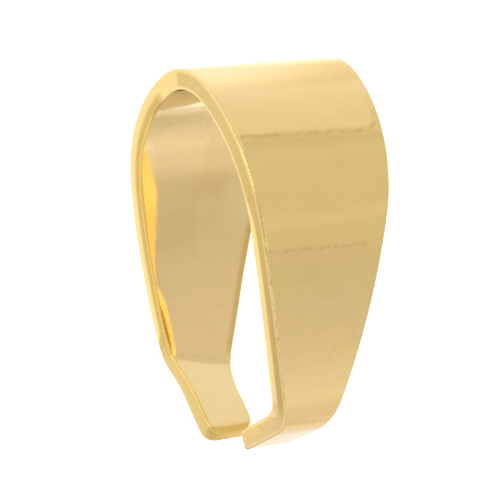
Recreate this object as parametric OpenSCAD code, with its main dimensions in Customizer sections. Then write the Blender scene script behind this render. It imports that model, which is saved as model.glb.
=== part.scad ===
// Pinch bail: one strip of sheet brass bent into a loop, whose two ends fold inwards as grip tabs.
// It lies on its back arm as on a table: +X along the loop's axis, +Y from the tips to the crown, +Z up.

/* [Sheet] */
// Thickness of the plated sheet
sheet_t = 0.52; // [0.36:0.02:0.7]
// Width across the top of the crown
crown_w = 4.65; // [3.6:0.05:6.5]
// Width where the taper of each arm ends
fold_w = 1.36; // [1:0.02:2]
// Width at the two tips
tip_w = 1.3; // [0.9:0.02:1.6]
// Length of the taper, down from the top of the crown
taper_len = 8.9; // [7.6:0.1:9.2]
// How far each side edge bows out of a straight taper
edge_bow = 0.22; // [0:0.02:0.4]

/* [Loop] */
// Inside radius at the top of the crown
crown_r = 1.35; // [0.9:0.05:1.9]
// Turn of the crown's bend on each side of its top
crown_turn = 32; // [26:1:36]
// Inside radius of each shoulder
shoulder_r = 3.6; // [3:0.1:4.4]
// Turn of each shoulder's bend
shoulder_turn = 55; // [50:1:58]
// Inside radius of the slight bow along each arm
arm_r = 22.6; // [16:0.2:36]
// Length of the bowed stretch of the front arm
front_arm_len = 4.8; // [4:0.1:5.8]
// Length of the bowed stretch of the back arm
back_arm_len = 4.5; // [3.8:0.1:5.4]

/* [Grip tabs] */
// Inside radius of both folds
fold_r = 0.2; // [0.1:0.02:0.4]
// Turn of the front fold
front_fold = 50; // [38:1:60]
// Turn of the back fold
back_fold = 37; // [28:1:48]
// Clear gap between the two tips
pinch_gap = 1.3; // [0.4:0.05:2.2]

/* [Hidden] */
EDGE_FACETS = 12;

// One arm's bends in order from the crown: radius at mid thickness, turn, facets
function bends(arm_len, fold) = [
    [crown_r + sheet_t / 2, crown_turn, 10],
    [shoulder_r + sheet_t / 2, shoulder_turn, 18],
    [arm_r + sheet_t / 2, arm_len / (arm_r + sheet_t / 2) * 180 / PI, 5],
    [fold_r + sheet_t / 2, fold, 6]
];
RADIUS = 0;
TURN = 1;
FACETS = 2;

// A station is a point on the sheet's mid line and the angle of its outward normal, here at the crown
START = [[0, 0], 0];
POINT = 0;
ANGLE = 1;
function ray(angle, length) = length * [cos(angle), sin(angle)];
function along(s, b, turn) =
    [s[POINT] + ray(s[ANGLE] + turn, b[RADIUS]) - ray(s[ANGLE], b[RADIUS]), s[ANGLE] + turn];
function bend_start(rows, n) =
    n == 0 ? START : along(bend_start(rows, n - 1), rows[n - 1], rows[n - 1][TURN]);

// The tab runs straight on from the fold until its nearer corner is half the gap from the middle
function tip(s) =
    let (run = (s[POINT].y - sheet_t / 2 * sin(s[ANGLE]) - pinch_gap / 2) / -cos(s[ANGLE]))
    [s[POINT] + ray(s[ANGLE] + 90, run), s[ANGLE]];

function arm(rows) = [
    START,
    for (n = [0 : len(rows) - 1], i = [1 : rows[n][FACETS]])
        along(bend_start(rows, n), rows[n], rows[n][TURN] * i / rows[n][FACETS]),
    tip(bend_start(rows, len(rows)))
];

front_arm = arm(bends(front_arm_len, front_fold));
back_bends = bends(back_arm_len, back_fold);
back_arm = [for (s = arm(back_bends)) [[s[POINT].x, -s[POINT].y], -s[ANGLE]]];
strip = [
    for (i = [len(back_arm) - 1 : -1 : 1]) back_arm[i],
    each front_arm
];
outer = [for (s = strip) s[POINT] + ray(s[ANGLE], sheet_t / 2)];
inner = [for (s = strip) s[POINT] - ray(s[ANGLE], sheet_t / 2)];
crown_top = sheet_t / 2;
tips_low = min([for (p = outer) p.x]);

// Half the sheet's width at a share of the taper: its side edges bow out of a straight taper
function half_width(share) =
    (crown_w + (fold_w - crown_w) * share) / 2 + 4 * edge_bow * share * (1 - share);

// Centre of mass: each stretch of the strip counts by its length times its width
middles = [for (i = [1 : len(strip) - 1]) (strip[i - 1][POINT] + strip[i][POINT]) / 2];
weights = [
    for (i = [1 : len(strip) - 1])
        norm(strip[i][POINT] - strip[i - 1][POINT])
            * half_width(min(1, (crown_top - middles[i - 1].x) / taper_len))
];
mass_centre = weights * middles / (weights * [for (w = weights) 1]);

// It rests with that centre straight over the point of its back that touches the table. That point is on
// a bend between crown and fold: the round of the shoulder, or the arm's bow if the centre lies further down
function level_turn(n) =
    let (
        start = bend_start(back_bends, n),
        axis = start[POINT] - ray(start[ANGLE], back_bends[n][RADIUS]),
        out = [mass_centre.x, -mass_centre.y] - axis
    )
    atan2(out.y, out.x);
lean = 90 - min([for (n = [1 : len(back_bends) - 2]) level_turn(n)]);
lying = [
    for (p = concat(outer, inner))
        [p.x * cos(lean) + p.y * sin(lean), p.y * cos(lean) - p.x * sin(lean)]
];
low = [for (i = [0, 1]) min([for (p = lying) p[i]])];
high_y = max([for (p = lying) p.x]);

// The sheet on edge, as seen along the loop's axis
module section()
    polygon([each outer, for (i = [len(inner) - 1 : -1 : 0]) inner[i]]);

// The sheet seen from the front: its edges bow out down to the folds, then run straight to the tips
edge = [
    for (i = [0 : EDGE_FACETS]) let (share = i / EDGE_FACETS)
        [half_width(share), crown_top - taper_len * share],
    [tip_w / 2, tips_low]
];
module face()
    polygon([each edge, for (i = [len(edge) - 1 : -1 : 0]) [-edge[i].x, edge[i].y]]);

module bail()
    color("#e0be7a")
        translate([0, -(low.x + high_y) / 2, -low.y]) rotate([-lean, 0, 0])
            intersection() {
                rotate([90, 0, 90]) linear_extrude(2 * crown_w, center = true) section();
                linear_extrude(-2 * tips_low, center = true) face();
            }

bail();
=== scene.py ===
"""Pinch bail: a plated brass strip bent into a loop with two inturned grip tabs, on a white table."""

import bisect
import math

import bmesh
import bpy
from bpy.props import FloatProperty, FloatVectorProperty, PointerProperty
from mathutils import Matrix, Vector


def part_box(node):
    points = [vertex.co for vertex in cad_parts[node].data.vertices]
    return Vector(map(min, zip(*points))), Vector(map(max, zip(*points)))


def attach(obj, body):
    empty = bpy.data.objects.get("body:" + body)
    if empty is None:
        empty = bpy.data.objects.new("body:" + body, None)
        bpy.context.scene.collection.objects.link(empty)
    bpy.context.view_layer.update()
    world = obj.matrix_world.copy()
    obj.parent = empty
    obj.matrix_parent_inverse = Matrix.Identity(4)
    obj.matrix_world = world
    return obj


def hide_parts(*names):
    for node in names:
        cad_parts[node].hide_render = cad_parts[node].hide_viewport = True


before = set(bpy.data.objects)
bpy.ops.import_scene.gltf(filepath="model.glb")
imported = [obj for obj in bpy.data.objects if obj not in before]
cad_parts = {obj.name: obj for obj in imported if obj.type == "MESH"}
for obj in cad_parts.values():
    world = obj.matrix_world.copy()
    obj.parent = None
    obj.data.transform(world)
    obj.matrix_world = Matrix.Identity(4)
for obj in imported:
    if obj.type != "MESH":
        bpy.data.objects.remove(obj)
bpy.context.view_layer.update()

LOW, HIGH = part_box("bail")
MM = 0.001

bl_info = {
    "name": "Pinch bail",
    "version": (1, 0, 0),
    "blender": (4, 5, 0),
    "location": "3D View > Sidebar > Bail",
    "description": "Models a plated pinch bail and the white table it lies on",
    "category": "Add Mesh",
}


def length(name, description, default_mm):
    """A length property, whose default is given in millimetres"""
    return FloatProperty(name=name, description=description, default=default_mm * MM,
                         min=0.0, unit="LENGTH", subtype="DISTANCE", precision=5)


def turn(name, description, default_deg):
    """An angle property, whose default is given in degrees"""
    return FloatProperty(name=name, description=description, default=math.radians(default_deg),
                         unit="ROTATION", subtype="ANGLE")


def colour(name, description, default):
    """A colour property in linear light"""
    return FloatVectorProperty(name=name, description=description, default=default,
                               subtype="COLOR", size=3, min=0.0, max=1.0)


class BailSizes(bpy.types.PropertyGroup):
    """Sizes of the bent strip. Those that start with front or back are of the front or the back arm"""
    sheet_t: length("Sheet thickness", "Thickness of the plated sheet", 0.52)
    crown_w: length("Crown width", "Width across the top of the crown", HIGH.x / MM - LOW.x / MM)
    fold_w: length("Fold width", "Width where the taper of each arm ends", 1.44)
    tip_w: length("Tip width", "Width at the two tips", 1.38)
    taper_len: length("Taper length", "Length of the taper from the top of the crown", 8.9)
    edge_bow: length("Edge bow", "How far each side edge bows out of a straight taper", 0.245)
    crown_r: length("Crown radius", "Inside radius of the crown", 1.35)
    crown_turn: turn("Crown turn", "Turn of the crown's bend on each side of its top", 32)
    shoulder_r: length("Shoulder radius", "Inside radius of each shoulder", 3.6)
    shoulder_turn: turn("Shoulder turn", "Turn of each shoulder's bend", 55)
    arm_r: length("Arm radius", "Inside radius of the bow along each arm", 22.6)
    front_arm_len: length("Front arm length", "Length of the front arm's bowed stretch", 4.77)
    back_arm_len: length("Back arm length", "Length of the back arm's bowed stretch", 4.6)
    fold_r: length("Fold radius", "Inside radius of both folds, before they are softened", 0.2)
    front_fold: turn("Front fold", "Turn of the front fold", 50)
    back_fold: turn("Back fold", "Turn of the back fold", 37)
    front_soft: length("Front fold softening", "Extra radius that eases the front fold", 0.5)
    back_soft: length("Back fold softening", "Extra radius that eases the back fold", 0.35)
    front_skew: turn("Front fold skew", "How far the front fold's line slants across the strip", 3)
    back_skew: turn("Back fold skew", "How far the back fold's line slants across the strip", 15)
    skew_x: length("Skew pivot", "How far left of the middle the slanting folds cross the square ones", 0.35)
    pinch_gap: length("Pinch gap", "Clear gap between the two tips, before their noses are rounded", 1.16)
    front_reach: length("Front reach", "How much further the front tab runs, for its rounded nose", 0.15)
    back_reach: length("Back reach", "How much further the back tab runs, for its rounded nose", 0.0)
    front_tip: length("Front tip length", "Length over which the front tip rounds off", 0.28)
    back_tip: length("Back tip length", "Length over which the back tip rounds off", 0.35)
    front_corner: length("Front tip corners", "Rounding of the front tip's corners, seen square on", 0.1)
    back_corner: length("Back tip corners", "Rounding of the back tip's corners, seen square on", 0.35)
    front_nose: length("Front nose", "Rounding of the front tip's outer edge through the sheet", 0.25)
    back_nose: length("Back nose", "Rounding of the back tip's outer edge through the sheet", 0.16)
    front_inner_nose: length("Front inner nose", "Rounding of the front tip's inner edge", 0.25)
    back_inner_nose: length("Back inner nose", "Rounding of the back tip's inner edge", 0.1)
    front_slant: length("Front slant", "Gain of the front tab's outer side, for each tab length", 0.15)
    back_slant: length("Back slant", "Gain of the back tab's outer side, for each tab length", 0.06)
    lean: turn("Lean", "How far the crown dips below level as the bail lies on its back", 5.294366)
    corner_r: length("Corner rounding", "Rounding of the sheet's tumbled corners", 0.04)
    shear_slant: length("Shear slant", "How far the front arm's left edge leans in at its outer side", 0.075)
    edge_belly: length("Edge belly", "How far the edge bulges at mid thickness low on the arms", 0.02)
    back_wider: length("Back widening", "How much wider the back arm is low down, on each side", 0.03)
    roll_w: length("Roll width", "Width of the rolled left margin of the back arm's inner face", 0.6)
    roll_d: length("Roll depth", "How far that margin rolls back where the profile of the roll is 1", 0.045)


class BailFinish(bpy.types.PropertyGroup):
    """Colours that the plating, the sheared edge and the table reflect. Some of the plating's colours are
    painted shade, painted highlights and painted reflections
    """
    plate: colour("Plate", "The gold plating", (0.97, 0.70, 0.275))
    pale: colour("Pale plate", "The plating where it is palest, low on the front arm", (0.97, 0.71, 0.31))
    inside: colour("Inside", "The inner face", (0.945, 0.69, 0.31))
    # Painted reflection: a lighter tone on the inner face's right side
    inside_reflection_light: colour("Light inside", "The inner face's lighter right side", (1.0, 0.74, 0.34))
    # Painted shade: the inner face under the crown takes this darker tone in place of the shade that falls
    # there
    crown_painted_shade: colour("Crown inside", "The plating under the crown, where it is thin", (0.78, 0.66, 0.38))
    # Painted reflection: the rolled margin's lighter, yellower colour lays in the gold's double reflection
    # along the back arm's left inner edge
    rolled: colour("Rolled margin", "The inner face's rolled margin", (0.99, 0.78, 0.36))
    # Painted reflection: a browner tint along the back arm's right inner margin and in a patch by the
    # shoulder
    margin: colour("Brown margin", "Tint of the back arm's browner right margin", (0.86, 0.77, 0.62))
    # Painted highlight: a bright cream line on the corner inside the front arm, laid in place of the floor's
    # reflection
    inner_corner_highlight: colour("Inner corner", "The burnished corner inside the front arm", (1.0, 0.83, 0.44))
    # Painted reflection: the saturated yellow of the gold's double reflection, laid on the corner inside the
    # back arm's edge
    back_corner: colour("Back corner", "The corner inside the back arm's edge", (0.93, 0.67, 0.19))
    edge: colour("Sheared edge", "The sheared edge at the crown", (0.72, 0.54, 0.205))
    edge_low: colour("Low sheared edge", "The sheared edge down the front arm", (0.67, 0.47, 0.15))
    edge_back: colour("Back sheared edge", "The back arm's sheared edge", (0.67, 0.46, 0.13))
    tab: colour("Back tab", "The back grip tab", (0.95, 0.72, 0.333))
    tab_side: colour("Back tab's side", "The back tab's sheared side", (0.76, 0.555, 0.20))
    edge_tab: colour("Front tab's side", "The front tab's sheared side", (0.87, 0.625, 0.255))
    tab_lip: colour("Front tab's lip", "The front tab's outer lip", (1.0, 0.76, 0.38))
    tip_end: colour("Back tip's end", "The cut end of the back tip", (0.92, 0.61, 0.16))
    mark: colour("Marks", "Tool marks, nicks and shades", (0.62, 0.42, 0.15))
    table: colour("Table", "The table", (0.25, 0.25, 0.25))


# Steps of the mesh: round a corner of the sheet, across its face and its edge, and along each bend
CORNER_STEPS = 3
FACE_CUTS = 13
RIM_CUTS = 5
CROWN_STEPS = 8
SHOULDER_STEPS = 14
ARM_STEPS = 10
FOLD_STEPS = 7
TAB_STEPS = 5
TIP_STEPS = 4
SMOOTH_LEVELS = 2

# Changes of shape down the arms, as points of a smooth line: millimetres of run from the crown, and a share
EDGE_BULGE = ((1.0, 0.15), (5.5, 1.0))
SHEAR_LEAN = ((3.0, 0.0), (7.0, 1.0))
BACK_WIDENING = ((7.0, 0.0), (8.6, 1.0))
ROLL_WIDTH = ((4.0, 1.0), (6.0, 0.58))
ROLL_PROFILE = (
    (2.9, 0.15), (3.15, 1.3), (4.4, 1.0), (7.0, 0.2), (7.2, 0.2), (7.9, 1.2), (9.0, 1.2), (9.4, 0.2),
)
# The folds' slant comes on before the start of the fold and partly goes after it
SKEW_ROUND_FOLD = ((-1.5, 0.0), (-0.2, 1.0), (0.9, 1.0), (1.9, 0.5))
# Powers that round the bulge of the edge and the curve of the rolled margin
BULGE_POWER = 1.4
ROLL_POWER = 2
# A corner's two ends are told apart from its flat neighbours with this share of its radius to spare
SPARE = 0.01
# A turn in radians for each metre of strip, below which a bend counts as straight
STRAIGHT = 1e-6
# A tip that has rounded off by more than this share is worn like the sheared edge
WORN_FROM = 0.5


def blend(value, start, end, at_start=0.0, at_end=1.0):
    """A smooth change from one value to another between two places"""
    share = min(1.0, max(0.0, (value - start) / (end - start)))
    return at_start + (at_end - at_start) * share * share * (3 - 2 * share)


def profile(value, points):
    """The height of a smooth line through points of place and height, level beyond the first and last"""
    height = points[0][1]
    for (start, low), (end, high) in zip(points, points[1:]):
        if value > start:
            height = blend(value, start, end, low, high)
    return height


def of_kind(kind, items):
    """Those of a list of vertices and edges that are of one kind"""
    return [item for item in items if isinstance(item, kind)]


class Station:
    """One cross-section of the strip: a point on its mid line, the angle of its outward normal and its run
    from the crown. At a tip it is also narrower, thinner on its outer and inner side, and slanted"""

    def __init__(self, middle, angle, run):
        self.middle, self.angle, self.run = middle, angle, run
        self.narrower = 0.0
        self.thinner = (0.0, 0.0)
        self.slant = 0.0
        self.tip = 0.0

    def outward(self):
        return Vector((math.cos(self.angle), math.sin(self.angle)))

    def onward(self):
        """The way along the strip from the back tip to the front tip"""
        return Vector((-math.sin(self.angle), math.cos(self.angle)))

    def worn(self):
        return 1.0 if self.tip > WORN_FROM else 0.0

    def moved(self, onto, shift):
        """The cross-section a little further along, on the bend or straight that leads onto another"""
        turn_rate = (onto.angle - self.angle) / (onto.run - self.run)
        angle = self.angle + turn_rate * shift
        if abs(turn_rate) < STRAIGHT:
            return Station(self.middle + self.onward() * shift, angle, self.run + shift)
        radius = 1 / turn_rate
        further = Station(None, angle, self.run + shift)
        further.middle = self.middle + (further.outward() - self.outward()) * radius
        return further


def along_strip(line, run):
    """The cross-section at a run from the crown, on a line of stations in order of run"""
    i = min(max(bisect.bisect(line, run, key=lambda station: station.run), 1), len(line) - 1)
    return line[i - 1].moved(line[i], run - line[i - 1].run)


def edge_loop(bm, sizes):
    """The sheet's cross-section at the crown, a thin rectangle with rounded corners, as one loop of edges"""
    half_w, half_t = sizes.crown_w / 2, sizes.sheet_t / 2
    made = bmesh.ops.create_grid(bm, x_segments=1, y_segments=1, size=1.0)
    bmesh.ops.scale(bm, vec=(half_w, half_t, 1.0), verts=made["verts"])
    bmesh.ops.bevel(bm, geom=made["verts"], offset=sizes.corner_r, offset_type="OFFSET",
                    segments=CORNER_STEPS, profile=0.5, affect="VERTICES", material=-1)
    bmesh.ops.delete(bm, geom=bm.faces[:], context="FACES_ONLY")
    for half, cuts in ((half_t, RIM_CUTS), (half_w, FACE_CUTS)):
        sides = [e for e in bm.edges if half < e.calc_length() < 2 * half]
        bmesh.ops.subdivide_edges(bm, edges=sides, cuts=cuts)
    return bm.verts[:] + bm.edges[:]


class Arm:
    """One arm, drawn out of the crown's loop of edges: side is 1 for the front arm and -1 for the back"""

    def __init__(self, bm, ring, sizes, side, stations, station_layer):
        self.bm, self.ring, self.sizes, self.side = bm, ring, sizes, side
        self.stations, self.station_layer = stations, station_layer
        self.now = self.fold = stations[0]
        for bend in self.bends():
            # After the last bend, the fold, this is the cross-section where the fold starts
            self.fold = self.now
            self.spin(*bend)
        self.draw_tab()

    def own(self, name):
        """A size that differs between the two arms"""
        return getattr(self.sizes, ("front_" if self.side > 0 else "back_") + name)

    def bends(self):
        """Radius at mid thickness, turn and number of steps of each bend, from the crown to the fold"""
        sizes = self.sizes
        half_t = sizes.sheet_t / 2
        arm_r = sizes.arm_r + half_t
        # The softened fold starts sooner, so the arm's bow is that much shorter and the fold turns further
        sooner = self.own("soft") * math.tan(self.own("fold") / 2)
        return (
            (sizes.crown_r + half_t, sizes.crown_turn, CROWN_STEPS),
            (sizes.shoulder_r + half_t, sizes.shoulder_turn, SHOULDER_STEPS),
            (arm_r, (self.own("arm_len") - sooner) / arm_r, ARM_STEPS),
            (sizes.fold_r + self.own("soft") + half_t, self.own("fold") + sooner / arm_r, FOLD_STEPS),
        )

    def keep(self, station):
        """Notes the cross-section that the loop of edges has come to"""
        self.stations.append(station)
        for v in of_kind(bmesh.types.BMVert, self.ring):
            v[self.station_layer] = len(self.stations) - 1
        self.now = station

    def spin(self, radius, angle, steps):
        """Draws the loop of edges round one bend"""
        centre = self.now.middle - self.now.outward() * radius
        step = self.side * angle / steps
        for _ in range(steps):
            spun = bmesh.ops.spin(self.bm, geom=self.ring, cent=(0, centre.x, centre.y), axis=(1, 0, 0),
                                  dvec=(0, 0, 0), angle=step, steps=1, use_merge=False, use_duplicate=False)
            self.ring = spun["geom_last"]
            bent = Station(None, self.now.angle + step, self.now.run + radius * step)
            bent.middle = centre + bent.outward() * radius
            self.keep(bent)

    def draw(self, move):
        """Draws the loop of edges straight on"""
        edges = of_kind(bmesh.types.BMEdge, self.ring)
        grown = bmesh.ops.extrude_edge_only(self.bm, edges=edges)["geom"]
        verts = of_kind(bmesh.types.BMVert, grown)
        ends = set(verts)
        self.ring = verts + [e for e in of_kind(bmesh.types.BMEdge, grown) if ends.issuperset(e.verts)]
        bmesh.ops.translate(self.bm, vec=(0, move.x, move.y), verts=verts)

    def draw_tab(self):
        """Draws the tab until its nearer corner is half the pinch gap from the middle, and closes its tip"""
        start, ahead = self.now, self.now.onward() * self.side
        nearer = abs(start.middle.y - self.sizes.sheet_t / 2 * math.sin(start.angle))
        tab_len = (nearer - self.sizes.pinch_gap / 2) / abs(ahead.y) + self.own("reach")
        straight = tab_len - self.own("tip")
        legs = [(straight * (i + 1) / TAB_STEPS, 0.0) for i in range(TAB_STEPS)]
        for i in range(TIP_STEPS):
            bow = math.pi / 2 * (i + 1) / TIP_STEPS
            legs.append((straight + self.own("tip") * math.sin(bow), 1 - math.cos(bow)))
        drawn = 0.0
        for leg, rounding in legs:
            self.draw(ahead * (leg - drawn))
            drawn = leg
            station = Station(start.middle + ahead * leg, start.angle, start.run + self.side * leg)
            station.tip = rounding
            station.narrower = self.own("corner") * rounding
            station.thinner = (self.own("nose") * rounding, self.own("inner_nose") * rounding)
            # The slant grows from half way down the tab
            station.slant = self.side * self.own("slant") / 2 * min(1.0, max(0.0, leg / straight - 0.5))
            self.keep(station)
        bmesh.ops.contextual_create(self.bm, geom=self.ring)


class StripShape:
    """Moves the points of the two drawn arms, as wide as the crown all along, to their true places"""

    def __init__(self, sizes, stations, arms):
        self.sizes, self.half_t = sizes, sizes.sheet_t / 2
        self.flat_half = sizes.crown_w / 2 - sizes.corner_r
        self.line = sorted(stations, key=lambda station: station.run)
        self.arms = {arm.side: arm for arm in arms}
        self.tips_low = min((arm.now.middle + arm.now.outward() * self.half_t).x for arm in arms)

    def half_width(self, station, n):
        """Half the strip's width at a cross-section: bowed down to the folds, then straight to the tips"""
        sizes = self.sizes
        height = station.middle.x + n * math.cos(station.angle)
        share = (self.half_t - height) / sizes.taper_len
        if share <= 1:
            bow = 4 * sizes.edge_bow * share * (1 - share)
            half = (sizes.crown_w + (sizes.fold_w - sizes.crown_w) * share) / 2 + bow
        else:
            taper_end = self.half_t - sizes.taper_len
            past = min(1, (taper_end - height) / (taper_end - self.tips_low))
            half = (sizes.fold_w + (sizes.tip_w - sizes.fold_w) * past) / 2
        return half + sizes.back_wider * profile(-station.run / MM, BACK_WIDENING) - station.narrower

    def edge_x(self, station, x, depth, wide):
        """Where a point of the sheared edge lies: it bulges at mid thickness, slightly at the crown and more
        down the arms, and leans in on the front arm's left side"""
        bulge = self.sizes.edge_belly * profile(abs(station.run) / MM, EDGE_BULGE) * abs(depth) ** BULGE_POWER
        leaning = 0.0
        if x < 0:
            leaning = self.sizes.shear_slant * profile(station.run / MM, SHEAR_LEAN) * (1 + depth) / 2
        return math.copysign(wide - (self.sizes.crown_w / 2 - abs(x)) - bulge - leaning, x)

    def rolled(self, station, x, depth, wide):
        """How much the back arm's inner face rolls back along its left edge: most round the shoulder and just
        above the fold"""
        if station.run >= 0 or x >= 0:
            return 0.0
        roll_w = self.sizes.roll_w * profile(-station.run / MM, ROLL_WIDTH)
        inwards = min(1.0, max(0.0, (wide - abs(x)) / roll_w))
        return profile(-station.run / MM, ROLL_PROFILE) * (1 - inwards) ** ROLL_POWER * max(0.0, -depth)

    def place(self, station, x, n, depth):
        """A point's place on the bent strip. Both folds' lines slant across it: towards the right the arm is
        longer and the fold comes later"""
        side = 1 if station.run > 0 else -1
        arm = self.arms[side]
        past_fold = (station.run - arm.fold.run) * side / MM
        longer = math.tan(arm.own("skew")) * (x + self.sizes.skew_x) * profile(past_fold, SKEW_ROUND_FOLD)
        spot = along_strip(self.line, station.run - side * longer + station.slant * depth)
        place = spot.middle + spot.outward() * n + arm.fold.onward() * side * longer
        return Vector((x, place.x, place.y))

    def settle(self, v, station, layers):
        """Moves one point to its place, and notes on it what the plating's material reads"""
        x, n = v[layers["flat_x"]], v[layers["flat_n"]]
        depth = n / self.half_t
        wide = self.half_width(station, n)
        corner_r = self.sizes.corner_r
        if abs(x) < self.flat_half - corner_r * SPARE:
            # Across the faces the points stand closer towards the edges
            x = math.sin(x / self.flat_half * math.pi / 2) * (wide - corner_r)
            v[layers["rim"]] = v[layers["edge"]] = station.worn()
        else:
            x = self.edge_x(station, x, depth, wide)
            within = self.half_t - corner_r * (1 + SPARE)
            v[layers["rim"]] = 1.0 if abs(n) < within else station.worn()
            v[layers["edge"]] = 1.0
            v[layers["lip"]] = 1.0 if n > within else 0.0
        rolled = self.rolled(station, x, depth, wide)
        outer_thinner, inner_thinner = station.thinner
        n *= 1 - (outer_thinner if n > 0 else inner_thinner) / self.half_t
        n += self.sizes.roll_d * rolled
        v.co = self.place(station, x, n, depth)
        v[layers["run"]] = station.run / MM
        v[layers["depth"]] = depth
        v[layers["roll"]] = rolled
        v[layers["inset"]] = (wide - x) / MM
        v[layers["tip"]] = station.tip


# What the material reads at each point: its run from the crown in mm, whether it is on the rim between the
# corners, its depth from -1 on the inner face to 1 on the outer, whether it is on the outer lip, whether it
# is on the edge with its corners, how far it is rolled back, its distance from the right edge in mm, and how
# far its tip is rounded
READ = ("run", "rim", "depth", "lip", "edge", "roll", "inset", "tip")
FLAT = ("flat_x", "flat_n")


def strip_mesh(sizes):
    """The whole strip as one closed mesh, standing with its crown along +Y and its front arm towards +Z"""
    bm = bmesh.new()
    station_layer = bm.verts.layers.int.new("station")
    layers = {name: bm.verts.layers.float.new(name) for name in READ + FLAT}
    ring = edge_loop(bm, sizes)
    for v in bm.verts:
        v[layers["flat_x"]], v[layers["flat_n"]] = v.co.x, v.co.y
    stations = [Station(Vector((0, 0)), 0.0, 0.0)]
    arms = [Arm(bm, ring, sizes, side, stations, station_layer) for side in (1, -1)]
    shape = StripShape(sizes, stations, arms)
    for v in bm.verts:
        shape.settle(v, stations[v[station_layer]], layers)
    bmesh.ops.recalc_face_normals(bm, faces=bm.faces[:])
    for face in bm.faces:
        face.smooth = True
    return bm


def lay_down(bm, sizes):
    """Leans the strip back on its shoulder and sets it on the table, where the solid lies"""
    half_t = sizes.sheet_t / 2
    crown, shoulder = sizes.crown_r + half_t, sizes.shoulder_r + half_t
    outward = Vector((math.cos(sizes.crown_turn), -math.sin(sizes.crown_turn)))
    shoulder_axis = Vector((-crown, 0)) + outward * crown - outward * shoulder
    cos, sin = math.cos(sizes.lean), math.sin(sizes.lean)
    bmesh.ops.rotate(bm, cent=(0, 0, 0), matrix=Matrix.Rotation(-sizes.lean, 3, "X"), verts=bm.verts[:])
    move_y = HIGH.y - (sizes.crown_r + sizes.sheet_t) + crown * cos
    move_z = LOW.z + sizes.shoulder_r + sizes.sheet_t - (shoulder_axis.y * cos - shoulder_axis.x * sin)
    bmesh.ops.translate(bm, vec=(0, move_y, move_z), verts=bm.verts[:])


# Sockets of the Mix node when it mixes colours
MIX_FACTOR, MIX_FIRST, MIX_SECOND = 0, 6, 7
MIX_RESULT = 2


def rgba(rgb):
    """A colour with full opacity"""
    return (*rgb, 1.0)


class Nodes:
    """Adds nodes to one tree and wires them up"""

    def __init__(self, tree):
        self.tree = tree
        tree.nodes.clear()

    def add(self, kind, inputs=None, **settings):
        node = self.tree.nodes.new(kind)
        for key, value in settings.items():
            setattr(node, key, value)
        for key, value in (inputs or {}).items():
            if isinstance(value, bpy.types.NodeSocket):
                self.tree.links.new(value, node.inputs[key])
            else:
                node.inputs[key].default_value = value
        return node

    def math(self, operation, *values):
        return self.add("ShaderNodeMath", dict(enumerate(values)), operation=operation).outputs[0]

    def times(self, first, *others):
        for other in others:
            first = self.math("MULTIPLY", first, other)
        return first

    def plus(self, first, *others):
        for other in others:
            first = self.math("ADD", first, other)
        return first

    def less(self, first, second):
        return self.math("SUBTRACT", first, second)

    def with_shares(self, base, *shares):
        """A base plus a share of each of some values, given as pairs of value and share"""
        for value, share in shares:
            base = self.math("MULTIPLY_ADD", value, share, base)
        return base

    def change(self, value, start, end, at_start=0.0, at_end=1.0, kind="SMOOTHSTEP"):
        """A change from one value to another between two places: smooth, or with kind LINEAR even"""
        inputs = {"Value": value, "From Min": start, "From Max": end, "To Min": at_start, "To Max": at_end}
        return self.add("ShaderNodeMapRange", inputs, interpolation_type=kind).outputs["Result"]

    def past(self, value, start, full):
        return self.change(value, start, full)

    def before(self, value, fading, gone):
        return self.change(value, fading, gone, 1.0, 0.0)

    def between(self, value, start, full, fading, gone):
        """1 along a stretch of a value, with a soft start and a soft end"""
        return self.times(self.past(value, start, full), self.before(value, fading, gone))

    def noise(self, vector, scale, detail=2.0, roughness=0.5):
        inputs = {"Vector": vector, "Scale": scale, "Detail": detail, "Roughness": roughness}
        return self.add("ShaderNodeTexNoise", inputs).outputs["Fac"]

    def mix(self, factor, first, second, blend_type="MIX"):
        inputs = {MIX_FACTOR: factor, MIX_FIRST: first, MIX_SECOND: second}
        return self.add("ShaderNodeMix", inputs, data_type="RGBA", blend_type=blend_type).outputs[MIX_RESULT]

    def ramp(self, factor, stops):
        """A colour ramp, whose stops are a place and either a grey or a colour"""
        node = self.add("ShaderNodeValToRGB", {"Fac": factor})
        elements = node.color_ramp.elements
        while len(elements) > 1:
            elements.remove(elements[-1])
        for i, (place, value) in enumerate(stops):
            stop = elements[0] if i == 0 else elements.new(place)
            stop.position = place
            stop.color = rgba(value if isinstance(value, tuple) else (value, value, value))
        return node.outputs["Color"]


# Places on the strip, in millimetres of run from the crown: positive down the front arm, negative down the
# back arm. A pair is where a change starts and ends. A four is a stretch with a soft start and a soft end, or
# for PITS and INNER_HIGHLIGHT_BRIGHTENS the pair of a change and its strength at both
BACK_ARM = (-1.0, 0.0)
UNDER_CROWN_SHADE = (1.7, 2.0)
PALE_PLATE = (4.8, 6.6, 9.3, 9.8)
BACK_TAB = (-9.7, -9.2)
TAN_PATCH = (-6.9, -6.2, -4.1, -3.8)
SPECKLES = (4.9, 6.2, 8.4, 9.0)
PITS = (4.6, 6.2, 0.15, 1.0)
FOLD_SHADE_LINE = (9.05, 9.25, 9.4, 9.6)
FOLD_SHEEN = (9.0, 9.3, 9.7, 10.2)
BROWN_REFLECTION_MARGIN = (-9.4, -9.0, -5.6, -4.6)
BROWN_REFLECTION_PATCH = (-5.3, -4.6, -3.6, -2.9)
LIGHT_REFLECTION_SIDE = (-6.4, -5.4, -4.7, -4.3)
DIM_ROLL = (-7.4, -7.0, -5.3, -4.8)
EDGE_DARKENS = (1.6, 4.2)
EDGE_BACK = (-1.5, -1.0)
EDGE_BACK_TAB = (-9.4, -8.8)
EDGE_FRONT_TAB = (9.0, 9.7)
FRONT_DULL = (-0.45, -0.25)
BACK_DULL = (-1.6, -1.1)
BACK_DULL_THROUGH = (-9.2, -8.4)
BURNISH_WIDENS = (2.6, 4.8)
BURNISH_NARROWS = (9.5, 10.1)
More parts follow.
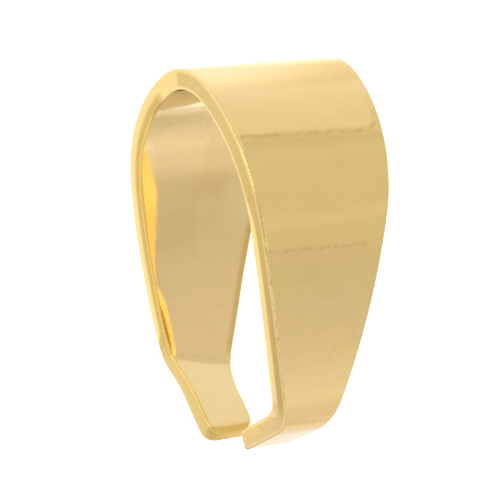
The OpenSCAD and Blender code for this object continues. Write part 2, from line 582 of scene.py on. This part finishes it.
DULL_LIP = (-0.6, -0.3, 2.5, 2.9)
NICKED_LIP = (3.6, 4.6)
SHADED_LIP_STRETCH = (3.5, 3.9, 4.5, 5.0)
TAB_LIP = (8.6, 9.2)
TAB_SPOTS = (9.0, 9.3)
LIP_SHADOW = (2.4, 3.2, 5.6, 6.6)
LOW_RIM = (5.5, 7.0)
INNER_HIGHLIGHT_LINE = (-0.9, -0.6, 9.0, 9.6)
INNER_HIGHLIGHT_BRIGHTENS = (0.8, 1.8, 0.25, 1.0)
REAR_HIGHLIGHT_LINE = (-2.4, -1.8)
# Distances from the right edge, in millimetres
BROWN_REFLECTION_MARGIN_W = (0.14, 0.30)
BROWN_REFLECTION_PATCH_W = (0.9, 1.3, 1.9, 2.3)
LIGHT_REFLECTION_SIDE_W = (0.5, 1.6)
# Distance right of the middle, in millimetres
TAN_PATCH_X = (-0.25, -0.05)
# Depths through the sheet, from -1 on its inner face to 1 on its outer face
OUTER_FACE = (0.8, 0.95)
INNER_FACE = (-0.95, -0.8)
INNER_CORNER = (-0.85, -0.7)
REAR_CORNER = (-0.9, -0.8)
UNDER_LIP = (0.6, 0.8)
TAB_SPOTS_DEPTH = (-0.2, 0.4)
# Depth of the border between burnished and dull at the two ends of a change, and how soft that border is
BURNISH_WIDE, BURNISH_NARROW, BURNISH_SOFT = (-1.3, -0.1), (0.0, -1.2), (-0.12, 0.12)
BACK_DULL_DEPTH, BACK_DULL_SOFT = (2.0, 0.0), (-0.4, 0.25)
# Shares of the edge, of a rounded tip and of the rolled margin from which their colours come on
EDGE_FROM = (0.7, 1.0)
TIP_FACE_FROM, TIP_EDGE_FROM = (0.0, 0.25), (0.1, 0.6)
ROLLED_REFLECTION_FROM, DIM_ROLL_FROM = (0.1, 0.5), (0.02, 0.1)
# Heights of a noise between which its spots come on. A four also gives the strength outside and inside them
PATCHES = (0.42, 0.6)
SPECKLED = (0.5, 0.66)
NICKED = (0.52, 0.6)
SPOTTED = (0.56, 0.62)
PITTED = (0.4, 0.6)
CLOUDED = (0.35, 0.6, 0.35, 1.0)
BROKEN = (0.38, 0.5, 0.6, 1.0)
# A pit by its cell's distance: deepest up to the first, gone from the second, and the two heights
PIT = (0.05, 0.2, -1.0, 0.0)
# Ramps that tone the plating by its blotches and the sheared edge by its streaks
BLOTCHES = ((0.3, 0.965), (0.5, 1.0))
STREAKS = ((0.35, 1.04), (0.65, 0.92))
# The forming tool's marks, in millimetres: how they drop to the right and wander, the middle, radius and
# width of the rounded corner under the crown, and the place and width of the line mid way down the arm
MARK_DROP = -0.035
MARK_WANDER = 0.09
CORNER_X, CORNER_RUN, CORNER_RADIUS, CORNER_WIDTH = 1.62, 1.98, 0.44, 0.11
CORNER_STARTS = (1.3, 2.3)
LINE_RUN, LINE_WIDTH = 5.13, 0.10
LINE_ENDS = (1.1, 1.45)
# The height that a relief of 1 stands for
RELIEF = 0.01 * MM


class GoldPlate(Nodes):
    """Thin pale gold plating over tumbled brass: soft gloss, blotches, fine pits, the forming tool's faint
    marks, and a duller, streaked sheared edge with a nicked lip. Its colour also holds painted shade, painted
    highlights and painted reflections"""

    def __init__(self, tree, finish):
        super().__init__(tree)
        self.finish = finish
        self.colour = rgba(finish.plate)
        place = self.add("ShaderNodeTexCoord").outputs["Object"]
        scaled = self.add("ShaderNodeMapping", {"Vector": place, "Scale": (1 / MM, 1 / MM, 1 / MM)})
        self.in_mm = scaled.outputs["Vector"]
        self.across = self.add("ShaderNodeSeparateXYZ", {"Vector": self.in_mm}).outputs["X"]
        self.run, self.rim, self.depth, self.lip, self.edge, self.roll, self.inset, self.tip = (
            self.add("ShaderNodeAttribute", attribute_name=name).outputs["Fac"] for name in READ)
        self.outer = self.times(self.past(self.depth, *OUTER_FACE), self.less(1.0, self.rim))
        self.inner = self.before(self.depth, *INNER_FACE)
        self.corner = self.less(self.edge, self.rim)
        self.back_arm = self.before(self.run, *BACK_ARM)
        self.tab_lip = self.times(self.lip, self.past(self.run, *TAB_LIP))
        self.blotch = self.noise(self.along(0.5, 1.6), scale=1.6, detail=4.0, roughness=0.6)
        self.nick_noise = self.noise(self.along(0.5, 1.0), scale=7.0, roughness=0.6)
        self.marks = self.tool_marks()
        self.dull = self.dull_edge()

    def joined(self, x, y, z):
        """Three values as one set of coordinates"""
        return self.add("ShaderNodeCombineXYZ", {"X": x, "Y": y, "Z": z}).outputs["Vector"]

    def along(self, x_share, run_share):
        """Coordinates that follow the strip, stretched across or along it"""
        return self.joined(self.times(self.across, x_share), self.times(self.run, run_share), self.depth)

    def line(self, value, place, width, wander):
        """A thin wandering line where a value is at a place"""
        off = self.math("ABSOLUTE", self.plus(self.less(value, place), wander))
        return self.before(off, 0.0, width)

    def tool_marks(self):
        """The forming tool's two marks on the front face: a rounded corner under the crown, a line mid way"""
        drop = self.with_shares(self.run, (self.across, MARK_DROP))
        wavy = self.noise(self.along(1.0, 1.0), scale=3.0, detail=3.0)
        wander = self.with_shares(-MARK_WANDER / 2, (wavy, MARK_WANDER))
        over_x = self.math("MAXIMUM", self.less(self.across, CORNER_X), 0.0)
        over_run = self.math("MAXIMUM", self.less(drop, CORNER_RUN), 0.0)
        reach = self.math("SQRT", self.plus(self.times(over_x, over_x), self.times(over_run, over_run)))
        corner = self.line(reach, CORNER_RADIUS, CORNER_WIDTH, wander)
        line = self.line(drop, LINE_RUN, LINE_WIDTH, wander)
        # Both are patchy, and the line has nearly gone between its patches
        patchy = self.noise(self.along(4.5, 7.0), scale=1.0, detail=4.0, roughness=0.75)
        patchy = self.past(patchy, *PATCHES)
        corner = self.times(corner, self.past(drop, *CORNER_STARTS), self.with_shares(0.3, (patchy, 0.7)))
        line = self.times(line, self.before(self.across, *LINE_ENDS), self.with_shares(0.1, (patchy, 0.75)))
        return self.times(self.outer, self.plus(corner, line))

    def dull_edge(self):
        """The sheared edge is dull, except a bright burnished band that widens down the front arm's inner
        side, and one along the back arm's outer side. The band's border is a depth"""
        border = self.plus(self.change(self.run, *BURNISH_WIDENS, *BURNISH_WIDE),
                           self.change(self.run, *BURNISH_NARROWS, *BURNISH_NARROW))
        front = self.times(self.past(self.less(self.depth, border), *BURNISH_SOFT),
                           self.math("MAXIMUM", self.rim, self.tab_lip))
        border = self.change(self.run, *BACK_DULL_THROUGH, *BACK_DULL_DEPTH)
        back = self.times(self.before(self.less(self.depth, border), *BACK_DULL_SOFT),
                          self.before(self.run, *BACK_DULL), self.past(self.edge, *EDGE_FROM))
        return self.plus(self.times(self.past(self.run, *FRONT_DULL), front), back)

    def nicks(self):
        """Nicks along the front arm's outer lip, from the shoulder down, painted shade over the lip's
        highlight part way down, and none on its tab's soft lip
        """
        nicked = self.times(self.lip, self.past(self.nick_noise, *NICKED), self.past(self.run, *NICKED_LIP))
        # Painted shade: darkens the outer lip's highlight part way down the front arm
        worn = self.times(self.lip, 0.6, self.between(self.run, *SHADED_LIP_STRETCH))
        return self.times(self.math("MAXIMUM", nicked, worn), self.less(1.0, self.tab_lip))

    def paint(self, mask, paint, share=1.0, blend_type="MIX"):
        """Lays a colour over those already there, through a mask"""
        if share < 1.0:
            mask = self.times(mask, share)
        self.colour = self.mix(mask, self.colour, rgba(paint), blend_type)

    def paint_plate(self):
        """The plating by face: paler low on the front arm, other tones inside and on the back tab and tip, a
        painted reflection on the rolled margin, and painted shade under the crown"""
        finish = self.finish
        self.paint(self.between(self.run, *PALE_PLATE), finish.pale)
        self.paint(self.inner, finish.inside)
        self.paint(self.before(self.run, *BACK_TAB), finish.tab)
        self.paint(self.times(self.back_arm, self.past(self.tip, *TIP_FACE_FROM)), finish.tip_end)
        # Painted reflection on the rolled margin
        self.paint(self.past(self.roll, *ROLLED_REFLECTION_FROM), finish.rolled, share=0.8)
        # Painted shade: the inner face darkens near the crown
        under_crown_shade_mask = self.before(self.math("ABSOLUTE", self.run), *UNDER_CROWN_SHADE)
        self.paint(self.times(self.inner, under_crown_shade_mask), finish.crown_painted_shade)

    def paint_wear(self):
        """A faint tan patch inside the back arm, soft blotches, the tool marks, fine speckles, and a faint
        painted shade line where the front fold begins"""
        mark = self.finish.mark
        # A faint tan patch inside the back arm, in the colour of the marks
        tan_patch = self.times(self.before(self.across, *TAN_PATCH_X), self.between(self.run, *TAN_PATCH), self.inner)
        self.paint(tan_patch, mark, share=0.10)
        self.colour = self.mix(1.0, self.colour, self.ramp(self.blotch, BLOTCHES), "MULTIPLY")
        self.paint(self.marks, mark, share=0.58)
        fine = self.past(self.noise(self.in_mm, scale=9.0, detail=4.0, roughness=0.75), *SPECKLED)
        clouds = self.change(self.noise(self.in_mm, scale=1.3), *CLOUDED)
        speckles = self.times(fine, self.between(self.run, *SPECKLES), clouds, self.outer)
        self.paint(speckles, mark, share=0.16)
        # Painted shade: a faint darker line where the front fold begins
        self.paint(self.between(self.run, *FOLD_SHADE_LINE), mark, share=0.22)

    def paint_back_inside_reflections(self):
        """Painted reflections on the back arm's inner face: browner along its right edge and in a patch by
        the shoulder, and lighter beside them"""
        finish = self.finish
        # Painted reflection: browner along the right edge and in a patch, lighter beside them
        margin = self.times(self.before(self.inset, *BROWN_REFLECTION_MARGIN_W), self.between(self.run, *BROWN_REFLECTION_MARGIN))
        patch = self.times(self.between(self.inset, *BROWN_REFLECTION_PATCH_W), self.between(self.run, *BROWN_REFLECTION_PATCH))
        brown_reflection = self.times(self.math("MAXIMUM", margin, self.times(patch, 0.3)), self.inner)
        self.paint(brown_reflection, finish.margin, blend_type="MULTIPLY")
        light = self.times(self.before(self.inset, *LIGHT_REFLECTION_SIDE_W), self.between(self.run, *LIGHT_REFLECTION_SIDE))
        self.paint(self.times(light, self.less(1.0, brown_reflection), self.inner), finish.inside_reflection_light)

    def paint_edge(self):
        """The sheared edge's own colours, streaked along the strip, wherever the edge is dull"""
        finish, plate = self.finish, self.colour
        self.colour = rgba(finish.edge)
        self.paint(self.past(self.math("ABSOLUTE", self.run), *EDGE_DARKENS), finish.edge_low)
        self.paint(self.before(self.run, *EDGE_BACK), finish.edge_back)
        self.paint(self.before(self.run, *EDGE_BACK_TAB), finish.tab_side)
        self.paint(self.past(self.run, *EDGE_FRONT_TAB), finish.edge_tab)
        self.paint(self.tab_lip, finish.tab_lip)
        self.paint(self.times(self.back_arm, self.past(self.tip, *TIP_EDGE_FROM)), finish.tip_end)
        streaks = self.noise(self.along(0.0, 1.0), scale=9.0, detail=3.0, roughness=0.7)
        streaked = self.mix(1.0, self.colour, self.ramp(streaks, STREAKS), "MULTIPLY")
        self.colour = self.mix(self.dull, plate, streaked)

    def paint_shades(self):
        """Spots on the front tab's side, shades under the outer lip and low on the rim, and a dimmer stretch
        of the rolled margin"""
        mark = self.finish.mark
        spotty = self.past(self.noise(self.along(2.0, 5.0), scale=1.0, detail=3.0, roughness=0.7), *SPOTTED)
        tab_side = self.times(self.rim, self.past(self.run, *TAB_SPOTS))
        self.paint(self.times(tab_side, self.before(self.depth, *TAB_SPOTS_DEPTH), spotty), mark, share=0.45)
        under_lip = self.times(self.past(self.depth, *UNDER_LIP), self.rim)
        self.paint(self.times(under_lip, self.between(self.run, *LIP_SHADOW)), mark, share=0.5)
        self.paint(self.times(self.rim, self.past(self.run, *LOW_RIM)), mark, share=0.2)
        rolled = self.past(self.roll, *DIM_ROLL_FROM)
        self.paint(self.times(rolled, self.between(self.run, *DIM_ROLL)), mark, share=0.3)

    def paint_corners(self):
        """Painted highlights and reflections on the corners inside the two arms, and the nicked outer lip
        with its painted shade
        """
        finish = self.finish
        broken = self.noise(self.along(0.0, 1.0), scale=5.0, detail=3.0, roughness=0.7)
        # Painted highlight: a broken cream line along the corner inside the front arm
        inner_corner_highlight = self.times(self.corner, self.before(self.depth, *INNER_CORNER))
        bright = self.times(self.change(broken, *BROKEN), self.change(self.run, *INNER_HIGHLIGHT_BRIGHTENS))
        self.paint(self.times(inner_corner_highlight, bright, self.between(self.run, *INNER_HIGHLIGHT_LINE)), finish.inner_corner_highlight)
        # Painted reflection: a saturated yellow line along the corner inside the back arm
        rear_corner = self.times(self.corner, self.before(self.depth, *REAR_CORNER))
        self.paint(self.times(rear_corner, self.before(self.run, *REAR_HIGHLIGHT_LINE)), finish.back_corner)
        self.paint(self.nicks(), finish.mark, share=0.7)

    def roughness(self):
        """A soft gloss, duller on the sheared edge, at the front fold, along the lip and on the tool marks"""
        fold = self.between(self.run, *FOLD_SHEEN)
        dull_lip = self.times(self.lip, self.between(self.run, *DULL_LIP))
        return self.with_shares(0.07, (self.blotch, 0.06), (self.dull, 0.2), (fold, 0.05), (dull_lip, 0.3),
                                (self.tab_lip, 0.25), (self.marks, 0.12))

    def relief(self):
        """Waves, grain, pits low on the front arm, the tool marks, the edge's streaks and the lip's nicks"""
        cells = self.add("ShaderNodeTexVoronoi", {"Vector": self.in_mm, "Scale": 7.0, "Randomness": 1.0})
        pits = self.times(self.change(cells.outputs["Distance"], *PIT), self.change(self.run, *PITS),
                          self.past(self.noise(self.in_mm, scale=1.3), *PITTED))
        across_edge = self.joined(self.times(self.depth, 1.5), self.times(self.run, 14.0), self.across)
        streaks = self.times(self.dull, self.noise(across_edge, scale=1.0, roughness=0.6))
        nicked = self.times(self.less(self.lip, self.tab_lip), self.nick_noise)
        waves = self.noise(self.in_mm, scale=3.0, detail=3.0)
        grain = self.noise(self.in_mm, scale=11.0)
        return self.with_shares(0.0, (waves, 0.22), (grain, 0.04), (pits, 0.08), (self.marks, -0.10),
                                (streaks, 0.30), (nicked, 1.2))


def gold_plate(finish):
    """The strip's material"""
    material = bpy.data.materials.new("gold_plate")
    material.use_nodes = True
    plate = GoldPlate(material.node_tree, finish)
    plate.paint_plate()
    plate.paint_wear()
    plate.paint_back_inside_reflections()
    plate.paint_edge()
    plate.paint_shades()
    plate.paint_corners()
    bump = plate.add("ShaderNodeBump", {"Height": plate.relief(), "Strength": 1.0, "Distance": RELIEF})
    shader = plate.add("ShaderNodeBsdfPrincipled", {
        "Base Color": plate.colour, "Metallic": 1.0, "Roughness": plate.roughness(),
        "Normal": bump.outputs["Normal"]})
    plate.add("ShaderNodeOutputMaterial", {"Surface": shader.outputs["BSDF"]})
    return material


class BAIL_OT_strip(bpy.types.Operator):
    """Model the bent strip with its plated finish, in the place of the plain solid"""
    bl_idname = "bail.strip"
    bl_label = "Bent strip"

    def execute(self, context):
        sizes, finish = context.scene.bail_sizes, context.scene.bail_finish
        bm = strip_mesh(sizes)
        lay_down(bm, sizes)
        mesh = bpy.data.meshes.new("bail_strip")
        bm.to_mesh(mesh)
        bm.free()
        mesh.materials.append(gold_plate(finish))
        strip = bpy.data.objects.new("bail_strip", mesh)
        context.scene.collection.objects.link(strip)
        smoother = strip.modifiers.new("Smooth", "SUBSURF")
        smoother.levels = smoother.render_levels = SMOOTH_LEVELS
        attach(strip, "root")
        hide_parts("bail")
        return {"FINISHED"}


# Brightness of the studio as the metal mirrors it, by degrees of turn about the loop's axis from the crown's
# side (0) over the top (90) to the tips' side (180)
DOME = (
    (0, 0.90), (8, 0.88), (17, 0.86), (23, 0.86), (26, 0.80), (29, 0.70), (32, 0.65), (35, 0.71), (38, 0.74),
    (60, 0.715), (79, 0.71), (88, 0.75), (91, 0.735), (95, 0.705), (98, 0.70), (99.7, 0.65), (106, 0.67),
    (112, 0.71), (116, 0.76), (120, 0.82), (123, 0.84), (133, 0.84), (137, 0.88), (144, 0.93), (150, 0.91),
    (156, 0.85), (162, 0.78), (166, 0.70), (174, 0.67), (178, 0.75), (182, 0.87),
)
# The same over the tips' side as mirrored further right, by the front fold and its tab
DOME_TIPS = (
    (0, 0.71), (106, 0.67), (112, 0.71), (116, 0.755), (120, 0.86), (123, 0.89), (133, 0.87), (140, 0.86),
    (146, 0.80), (152, 0.73), (157, 0.79), (163, 0.94), (170, 1.0), (182, 1.0),
)
DOME_END = 182
# Where the second dome takes over: by the mirrored direction's share to the right, and by its turn in degrees
DOME_RIGHT = (0.5655, 0.569)
DOME_TURN = (108, 112)
# The bands twist with the direction's share to the right, in degrees for each unit past a middle. Towards the
# top of the dome, between two turns, the twist fades out
BAND_TWIST, BAND_MIDDLE = 97, 0.589
BAND_TWIST_FADES = (40, 80)
# Bands brighter than the first number are bluer, by the second number for each unit past it
DOME_COOLER_PAST, DOME_COOLER = 0.7, 0.4
WHITE = (1.0, 1.0, 1.0)


def band_colour(brightness):
    """A band's colour: the brighter ones are a little bluer"""
    return brightness, brightness, brightness * (1 + DOME_COOLER * max(0, brightness - DOME_COOLER_PAST))


def studio_world(scene):
    """A soft dome whose brightness changes in bands over the loop; the camera sees plain white instead"""
    world = bpy.data.worlds.new("studio")
    scene.world = world
    world.use_nodes = True
    nodes = Nodes(world.node_tree)
    direction = nodes.add("ShaderNodeTexCoord").outputs["Generated"]
    axes = nodes.add("ShaderNodeSeparateXYZ", {"Vector": direction}).outputs
    right, along, up = axes["X"], axes["Y"], axes["Z"]
    around = nodes.math("ARCTAN2", up, along)
    twist = nodes.times(nodes.less(right, BAND_MIDDLE), math.radians(BAND_TWIST))
    low = nodes.change(around, *(math.radians(a) for a in BAND_TWIST_FADES), 1.0, 0.0, kind="LINEAR")
    share = nodes.math("DIVIDE", nodes.less(around, nodes.times(twist, low)), math.pi)
    bands = [nodes.ramp(nodes.times(share, 180 / DOME_END),
                        [(angle / DOME_END, band_colour(brightness)) for angle, brightness in band])
             for band in (DOME, DOME_TIPS)]
    rightward = nodes.change(right, *DOME_RIGHT, kind="LINEAR")
    tips_side = nodes.change(share, *(angle / 180 for angle in DOME_TURN), kind="LINEAR")
    dome = nodes.mix(nodes.times(rightward, tips_side), *bands)
    soft = nodes.add("ShaderNodeBackground", {"Color": dome, "Strength": 1.0}).outputs["Background"]
    plain = nodes.add("ShaderNodeBackground", {"Color": rgba(WHITE), "Strength": 1.0}).outputs["Background"]
    seen = nodes.add("ShaderNodeLightPath").outputs["Is Camera Ray"]
    mixed = nodes.add("ShaderNodeMixShader", {0: seen, 1: soft, 2: plain}).outputs["Shader"]
    nodes.add("ShaderNodeOutputWorld", {"Surface": mixed})


def soft_box(scene, name, towards, distance, size, glow):
    """A square soft light of a given brightness that faces the bail, out of the camera's sight"""
    lamp = bpy.data.lights.new(name, "AREA")
    lamp.size = size
    lamp.energy = glow * math.pi * size * size
    box = bpy.data.objects.new(name, lamp)
    way = Vector(towards).normalized()
    box.location = way * distance
    box.rotation_euler = way.to_track_quat("Z", "Y").to_euler()
    box.visible_camera = False
    scene.collection.objects.link(box)


# The table's light: each is a start and an end in millimetres, and the brightness at both. The bail lies
# round the middle, with its tips at -5 and its crown at 5
POOL_X = 7
POOL = (2, 11, 0.52, 0.0)
LEFT_DIMS = (-12, -6.5, 0.69, 0.88)
TIPS_DIM = (-11.5, -7.0, 0.80, 1.0)
BEYOND_CROWN = (5.5, 7.5, 0.0, 1.0)
FAR_DIMS = (5, 20, 0.95, 0.765)
FURTHEST_DIMS = (20, 60, 0.0, -0.05)
RIGHT_DIMS = (-0.5, 4.2, 0.06, -0.17)
RIGHT_DIMS_NEAR = (10, 28, 1.0, 0.0)
# The slanting line past the crown from which the light falls off to the right: its place and its slope
SLANT_X, SLANT = 3.41, -0.62
# How much the far light differs in blue and in red
COOLER_PAST_CROWN = (5.5, 7.5, 1.0, 1.02)
COOLER_FAR = (10, 24, 0.0, 0.16)
COOLER_LEFT = (1.0, 3.2, 0.24, 0.0)
COOLER_LEFT_NEAR = (8, 22, 1.0, 0.3)
COOLER_BELOW_TIPS = (-9.0, -7.0, 0.10, 0.0)
LESS_RED = (10, 24, 1.0, 0.96)


class WhiteTable(Nodes):
    """A white light table, lit from below"""

    def __init__(self, tree):
        super().__init__(tree)
        self.place = self.add("ShaderNodeTexCoord").outputs["Object"]
        axes = self.add("ShaderNodeSeparateXYZ", {"Vector": self.place}).outputs
        self.right, self.along = axes["X"], axes["Y"]
        self.slanting = self.with_shares(self.plus(self.right, SLANT_X * MM), (self.along, SLANT))
        self.beyond = self.fall(self.along, BEYOND_CROWN)

    def fall(self, value, light):
        """A soft change of brightness between two places"""
        start_mm, end_mm, at_start, at_end = light
        return self.change(value, start_mm * MM, end_mm * MM, at_start, at_end)

    def near_light(self):
        """Brightest in a pool right of the middle, and dimmer to the left and towards the tips"""
        middle = (POOL_X * MM, 0, 0)
        away = self.add("ShaderNodeVectorMath", {0: self.place, 1: middle}, operation="DISTANCE")
        pool = self.fall(away.outputs["Value"], POOL)
        return self.plus(self.times(self.fall(self.right, LEFT_DIMS), self.fall(self.along, TIPS_DIM)), pool)

    def far_light(self):
        """Past the crown the light falls off, sooner towards the right"""
        to_right = self.times(self.fall(self.slanting, RIGHT_DIMS), self.fall(self.along, RIGHT_DIMS_NEAR))
        return self.plus(self.fall(self.along, FAR_DIMS), self.fall(self.along, FURTHEST_DIMS), to_right)

    def cooler(self):
        """How much bluer the light is past the crown, most to the left, and below the tips"""
        past_crown = self.plus(self.fall(self.along, COOLER_PAST_CROWN), self.fall(self.along, COOLER_FAR))
        to_left = self.times(self.fall(self.slanting, COOLER_LEFT), self.fall(self.along, COOLER_LEFT_NEAR))
        below_tips = self.fall(self.along, COOLER_BELOW_TIPS)
        return self.plus(past_crown, self.times(to_left, self.beyond), below_tips)

    def light(self):
        """The table's own light: as above where the metal mirrors it, and plain white to the camera"""
        near = self.times(self.near_light(), self.less(1.0, self.beyond))
        glow = self.plus(near, self.times(self.far_light(), self.beyond))
        glow = self.math("MAXIMUM", glow, self.add("ShaderNodeLightPath").outputs["Is Camera Ray"])
        red = self.times(glow, self.fall(self.along, LESS_RED))
        blue = self.times(glow, self.cooler())
        return self.add("ShaderNodeCombineColor", {0: red, 1: glow, 2: blue}).outputs["Color"]


def table_top(finish):
    """The table's material"""
    material = bpy.data.materials.new("white_table")
    material.use_nodes = True
    table = WhiteTable(material.node_tree)
    grain = table.noise(table.place, scale=60.0, detail=4.0)
    darker = tuple(channel * 0.985 for channel in finish.table)
    tint = table.ramp(grain, ((0.3, darker), (0.7, tuple(finish.table))))
    shader = table.add("ShaderNodeBsdfPrincipled", {
        "Base Color": tint, "Roughness": 0.9, "Specular IOR Level": 0.0,
        "Emission Color": table.light(), "Emission Strength": 1.0})
    table.add("ShaderNodeOutputMaterial", {"Surface": shader.outputs["BSDF"]})
    return material


def lay_table(scene, finish):
    """The table, a square metre"""
    bm = bmesh.new()
    bmesh.ops.create_grid(bm, x_segments=1, y_segments=1, size=0.5)
    mesh = bpy.data.meshes.new("table")
    bm.to_mesh(mesh)
    bm.free()
    mesh.materials.append(table_top(finish))
    table = bpy.data.objects.new("table", mesh)
    scene.collection.objects.link(table)


# The photo's viewing angle: focal length and sensor, place in millimetres and turn in degrees
LENS, SENSOR = 188.5348, 36.0
CAMERA_PLACE = (-37.859, 20.78, 53.5396)
CAMERA_TURN = (-21.62971, -34.93757, 6.13917)
CLIP_NEAR, CLIP_FAR = 1 * MM, 10.0


def set_camera(scene):
    """The camera at the photo's viewing angle"""
    lens = bpy.data.cameras.new("camera")
    lens.lens, lens.sensor_width = LENS, SENSOR
    lens.clip_start, lens.clip_end = CLIP_NEAR, CLIP_FAR
    camera = bpy.data.objects.new("camera", lens)
    camera.location = Vector(CAMERA_PLACE) * MM
    camera.rotation_euler = [math.radians(angle) for angle in CAMERA_TURN]
    scene.collection.objects.link(camera)
    scene.camera = camera


class BAIL_OT_stage(bpy.types.Operator):
    """Set up the white table, the soft studio light and the camera"""
    bl_idname = "bail.stage"
    bl_label = "Table, light and camera"

    def execute(self, context):
        scene = context.scene
        lay_table(scene, scene.bail_finish)
        studio_world(scene)
        soft_box(scene, "left_box", towards=(-0.80, 0.30, 0.45), distance=0.3, size=0.16, glow=1.6)
        soft_box(scene, "right_box", towards=(0.93, 0.05, 0.30), distance=0.3, size=0.16, glow=1.2)
        set_camera(scene)
        scene.view_settings.view_transform = "Standard"
        return {"FINISHED"}


class BAIL_PT_panel(bpy.types.Panel):
    """Lists the bail's pieces, its sizes and its colours"""
    bl_idname = "BAIL_PT_panel"
    bl_label = "Pinch bail"
    bl_space_type = "VIEW_3D"
    bl_region_type = "UI"
    bl_category = "Bail"

    def draw(self, context):
        for operator in (BAIL_OT_strip, BAIL_OT_stage):
            self.layout.operator(operator.bl_idname)
        for group in (context.scene.bail_sizes, context.scene.bail_finish):
            for name in group.__annotations__:
                self.layout.prop(group, name)


CLASSES = (BailSizes, BailFinish, BAIL_OT_strip, BAIL_OT_stage, BAIL_PT_panel)


def register():
    for cls in CLASSES:
        bpy.utils.register_class(cls)
    bpy.types.Scene.bail_sizes = PointerProperty(type=BailSizes)
    bpy.types.Scene.bail_finish = PointerProperty(type=BailFinish)


def unregister():
    del bpy.types.Scene.bail_sizes, bpy.types.Scene.bail_finish
    for cls in reversed(CLASSES):
        bpy.utils.unregister_class(cls)


def main():
    register()
    bpy.ops.bail.strip()
    bpy.ops.bail.stage()


if __name__ == "__main__":
    main()
